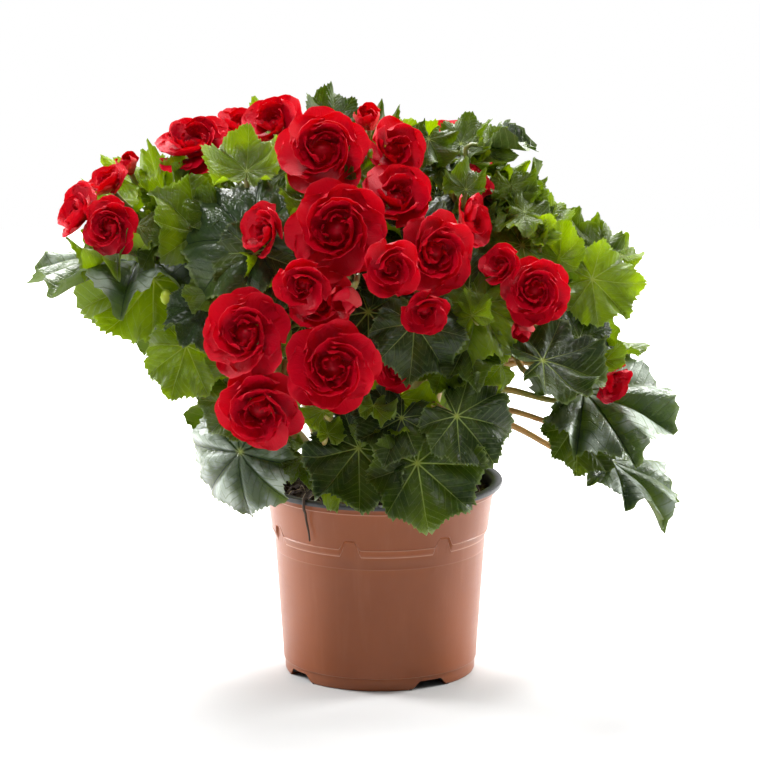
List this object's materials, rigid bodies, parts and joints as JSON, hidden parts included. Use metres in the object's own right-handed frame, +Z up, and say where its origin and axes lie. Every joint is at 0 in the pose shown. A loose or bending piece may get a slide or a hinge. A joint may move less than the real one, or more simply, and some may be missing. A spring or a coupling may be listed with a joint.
{
  "type": "potted begonia",
  "caption": "Tuberous begonia with ruffled scarlet double blooms and toothed, crinkled green leaves on fleshy stems, growing in a thin terracotta-coloured nursery pot",
  "frame": {"origin": "middle of the pot's flat underside, on the ground", "axes": "+Z up along the pot's axis, -Y toward the plant's front, +X toward its right, along the plant's longest extent"},
  "size_m": [0.3355, 0.2614, 0.3125],
  "materials": {
    "pot": "matt terracotta-coloured thin plastic, black inside and on the lip",
    "soil": "rough dark peat",
    "foliage": "soft sheen, leaves mid green with paler veins, stems yellow-green flushed pink",
    "bloom": "velvety scarlet petals with a fine sparkle"
  },
  "bodies": {
    "root": {"pot": "pot", "soil": "soil", "stem_left": "foliage", "stem_front": "foliage", "stem_top": "foliage", "stem_high": "foliage", "stem_right": "foliage", "stem_low": "foliage", "stem_drop": "foliage", "stem_back_left": "foliage", "stem_back_middle": "foliage", "stem_back_right": "foliage", "bloom_01": "bloom", "bloom_02": "bloom", "bloom_03": "bloom", "bloom_04": "bloom", "bloom_05": "bloom", "bloom_06": "bloom", "bloom_07": "bloom", "bloom_08": "bloom", "bloom_09": "bloom", "bloom_10": "bloom", "bloom_11": "bloom", "bloom_12": "bloom", "bloom_13": "bloom", "bloom_14": "bloom", "bloom_15": "bloom", "bloom_16": "bloom", "bloom_17": "bloom", "bloom_18": "bloom", "bloom_19": "bloom", "bloom_20": "bloom", "bloom_21": "bloom", "bloom_22": "bloom", "bloom_23": "bloom", "bloom_24": "bloom", "bloom_25": "bloom", "bloom_26": "bloom", "bloom_27": "bloom", "bloom_28": "bloom", "bloom_29": "bloom", "bloom_30": "bloom", "bloom_31": "bloom", "bloom_32": "bloom", "bloom_33": "bloom", "bloom_34": "bloom", "bloom_35": "bloom", "bloom_36": "bloom", "bloom_37": "bloom"}
  },
  "joints": []
}
